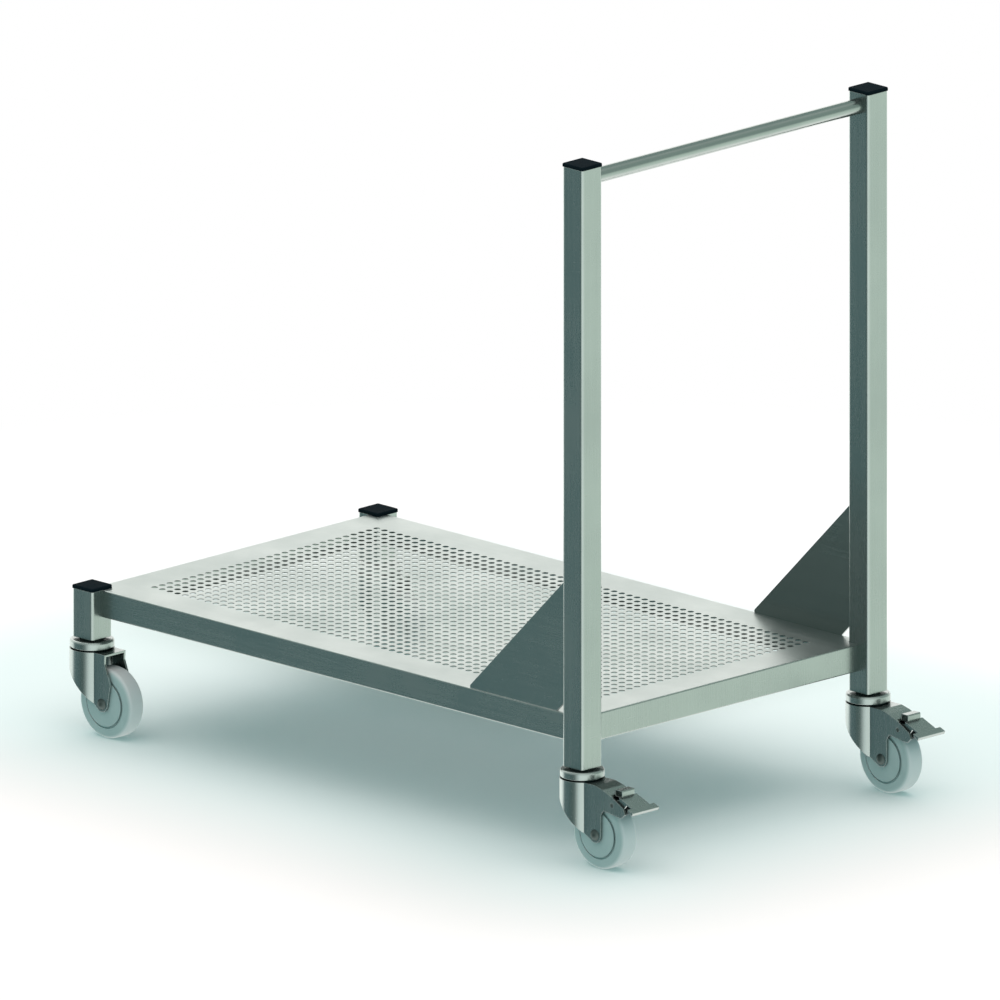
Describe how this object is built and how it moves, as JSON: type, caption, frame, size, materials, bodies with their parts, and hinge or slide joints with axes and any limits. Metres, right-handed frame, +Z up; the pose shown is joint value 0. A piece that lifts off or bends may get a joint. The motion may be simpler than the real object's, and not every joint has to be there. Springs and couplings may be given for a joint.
{
  "type": "transport cart",
  "caption": "Low platform cart with a perforated steel deck on square tube posts, gusseted push posts with a round handle bar, and swivel casters, the rear ones with foot brakes.",
  "frame": {"origin": "on the floor, below the middle of the whole cart's box with its casters trailing to the push end", "axes": "+X towards the push handle, +Y across the cart, +Z up"},
  "size_m": [1.1166, 0.623, 1.003],
  "materials": {
    "deck_steel": "satin",
    "tube_steel": "satin",
    "caster_steel": "polished",
    "plug_steel": "plain",
    "bolt_steel": "bright",
    "black_plastic": "matte",
    "seal_rubber": "matte",
    "grey_tyre": "matte",
    "grey_plastic": "matte"
  },
  "bodies": {
    "frame": {"deck_tray": "deck_steel", "handle_bar": "tube_steel", "left_gusset": "deck_steel", "right_gusset": "deck_steel", "rear_left_post": "tube_steel", "rear_left_cap": "black_plastic", "rear_left_stem_plug": "plug_steel", "rear_left_swivel_head": "caster_steel", "rear_right_post": "tube_steel", "rear_right_cap": "black_plastic", "rear_right_stem_plug": "plug_steel", "rear_right_swivel_head": "caster_steel", "front_left_post": "tube_steel", "front_left_cap": "black_plastic", "front_left_stem_plug": "plug_steel", "front_left_swivel_head": "caster_steel", "front_right_post": "tube_steel", "front_right_cap": "black_plastic", "front_right_stem_plug": "plug_steel", "front_right_swivel_head": "caster_steel", "swivel_bolts": "bolt_steel", "swivel_seals": "seal_rubber", "swivel_balls": "bolt_steel"},
    "rear_left_caster": {"rear_left_fork": "caster_steel", "rear_left_axle_bolt": "bolt_steel", "rear_left_axle_sleeve": "bolt_steel", "rear_left_brake_pin": "bolt_steel", "rear_left_brake_spring": "bolt_steel"},
    "rear_left_wheel": {"rear_left_tyre": "grey_tyre", "rear_left_wheel_core": "grey_plastic", "rear_left_wheel_bearings": "bolt_steel", "rear_left_thread_guards": "grey_plastic"},
    "rear_left_pedal": {"rear_left_brake_pedal": "caster_steel", "rear_left_brake_shoe": "seal_rubber"},
    "rear_right_caster": {"rear_right_fork": "caster_steel", "rear_right_axle_bolt": "bolt_steel", "rear_right_axle_sleeve": "bolt_steel", "rear_right_brake_pin": "bolt_steel", "rear_right_brake_spring": "bolt_steel"},
    "rear_right_wheel": {"rear_right_tyre": "grey_tyre", "rear_right_wheel_core": "grey_plastic", "rear_right_wheel_bearings": "bolt_steel", "rear_right_thread_guards": "grey_plastic"},
    "rear_right_pedal": {"rear_right_brake_pedal": "caster_steel", "rear_right_brake_shoe": "seal_rubber"},
    "front_left_caster": {"front_left_fork": "caster_steel", "front_left_axle_bolt": "bolt_steel", "front_left_axle_sleeve": "bolt_steel"},
    "front_left_wheel": {"front_left_tyre": "grey_tyre", "front_left_wheel_core": "grey_plastic", "front_left_wheel_bearings": "bolt_steel", "front_left_thread_guards": "grey_plastic"},
    "front_right_caster": {"front_right_fork": "caster_steel", "front_right_axle_bolt": "bolt_steel", "front_right_axle_sleeve": "bolt_steel"},
    "front_right_wheel": {"front_right_tyre": "grey_tyre", "front_right_wheel_core": "grey_plastic", "front_right_wheel_bearings": "bolt_steel", "front_right_thread_guards": "grey_plastic"}
  },
  "joints": [
    {"name": "rear_left_swivel", "type": "hinge", "parent": "frame", "child": "rear_left_caster", "pos_m": [0.43325, -0.28, 0.121], "axis": [0, 0, 1], "continuous": true},
    {"name": "rear_left_wheel_spin", "type": "hinge", "parent": "rear_left_caster", "child": "rear_left_wheel", "pos_m": [0.47825, -0.28, 0.05], "axis": [0, 1, 0], "continuous": true},
    {"name": "rear_left_brake", "type": "hinge", "parent": "rear_left_caster", "child": "rear_left_pedal", "pos_m": [0.51125, -0.28, 0.0985], "axis": [0, 1, 0], "range_deg": [0, 10]},
    {"name": "rear_right_swivel", "type": "hinge", "parent": "frame", "child": "rear_right_caster", "pos_m": [0.43325, 0.28, 0.121], "axis": [0, 0, 1], "continuous": true},
    {"name": "rear_right_wheel_spin", "type": "hinge", "parent": "rear_right_caster", "child": "rear_right_wheel", "pos_m": [0.47825, 0.28, 0.05], "axis": [0, 1, 0], "continuous": true},
    {"name": "rear_right_brake", "type": "hinge", "parent": "rear_right_caster", "child": "rear_right_pedal", "pos_m": [0.51125, 0.28, 0.0985], "axis": [0, 1, 0], "range_deg": [0, 10]},
    {"name": "front_left_swivel", "type": "hinge", "parent": "frame", "child": "front_left_caster", "pos_m": [-0.52675, -0.28, 0.121], "axis": [0, 0, 1], "continuous": true},
    {"name": "front_left_wheel_spin", "type": "hinge", "parent": "front_left_caster", "child": "front_left_wheel", "pos_m": [-0.48775, -0.28, 0.05], "axis": [0, 1, 0], "continuous": true},
    {"name": "front_right_swivel", "type": "hinge", "parent": "frame", "child": "front_right_caster", "pos_m": [-0.52675, 0.28, 0.121], "axis": [0, 0, 1], "continuous": true},
    {"name": "front_right_wheel_spin", "type": "hinge", "parent": "front_right_caster", "child": "front_right_wheel", "pos_m": [-0.48775, 0.28, 0.05], "axis": [0, 1, 0], "continuous": true}
  ]
}
